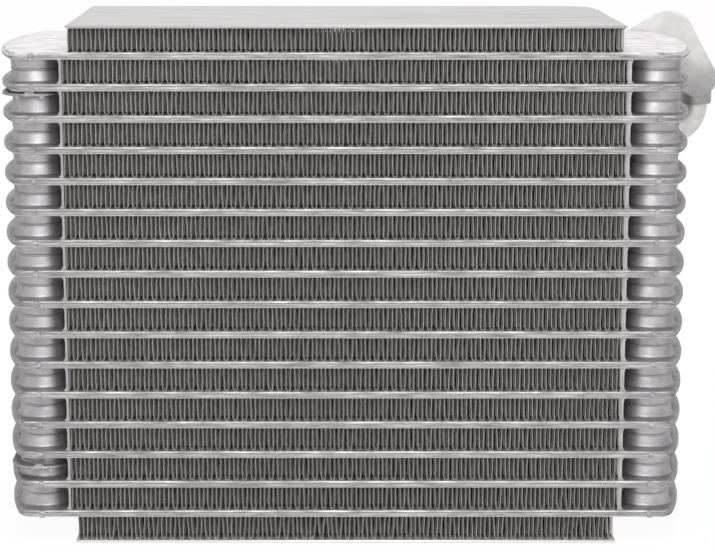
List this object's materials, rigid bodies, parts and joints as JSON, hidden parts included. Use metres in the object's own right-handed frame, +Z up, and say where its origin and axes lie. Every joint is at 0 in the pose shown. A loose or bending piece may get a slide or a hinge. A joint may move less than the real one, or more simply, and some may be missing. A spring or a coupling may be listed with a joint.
{
  "type": "air conditioning evaporator",
  "caption": "Laminated plate-and-fin evaporator core with cupped header tanks at both ends, corrugated fins, flat end plates and a two-port connection block.",
  "frame": {"origin": "middle of the lower end plate's underside, on which the core stands", "axes": "+X along the tubes towards the header with the connections, +Y the way the air leaves (the front face looks towards -Y), +Z up through the stack"},
  "size_m": [0.2681, 0.106, 0.1864],
  "materials": {
    "plate_metal": "satin",
    "fin_metal": "satin",
    "end_metal": "satin",
    "forged_metal": "matte"
  },
  "bodies": {
    "root": {"tube_01_upper_plate": "plate_metal", "tube_01_lower_plate": "plate_metal", "tube_02_upper_plate": "plate_metal", "tube_02_lower_plate": "plate_metal", "tube_03_upper_plate": "plate_metal", "tube_03_lower_plate": "plate_metal", "tube_04_upper_plate": "plate_metal", "tube_04_lower_plate": "plate_metal", "tube_05_upper_plate": "plate_metal", "tube_05_lower_plate": "plate_metal", "tube_06_upper_plate": "plate_metal", "tube_06_lower_plate": "plate_metal", "tube_07_upper_plate": "plate_metal", "tube_07_lower_plate": "plate_metal", "tube_08_upper_plate": "plate_metal", "tube_08_lower_plate": "plate_metal", "tube_09_upper_plate": "plate_metal", "tube_09_lower_plate": "plate_metal", "tube_10_upper_plate": "plate_metal", "tube_10_lower_plate": "plate_metal", "tube_11_upper_plate": "plate_metal", "tube_11_lower_plate": "plate_metal", "tube_12_upper_plate": "plate_metal", "tube_12_lower_plate": "plate_metal", "tube_13_upper_plate": "plate_metal", "tube_13_lower_plate": "plate_metal", "tube_14_upper_plate": "plate_metal", "tube_14_lower_plate": "plate_metal", "tube_15_upper_plate": "plate_metal", "tube_15_lower_plate": "plate_metal", "tube_16_upper_plate": "plate_metal", "tube_16_lower_plate": "plate_metal", "fin_01": "fin_metal", "fin_02": "fin_metal", "fin_03": "fin_metal", "fin_04": "fin_metal", "fin_05": "fin_metal", "fin_06": "fin_metal", "fin_07": "fin_metal", "fin_08": "fin_metal", "fin_09": "fin_metal", "fin_10": "fin_metal", "fin_11": "fin_metal", "fin_12": "fin_metal", "fin_13": "fin_metal", "fin_14": "fin_metal", "fin_15": "fin_metal", "fin_16": "fin_metal", "fin_17": "fin_metal", "partition_plate_upper": "plate_metal", "partition_plate_lower": "plate_metal", "end_plate_top": "end_metal", "end_plate_bottom": "end_metal", "connection_block": "forged_metal", "liquid_header_block": "forged_metal", "liquid_pipe": "forged_metal"}
  },
  "joints": []
}
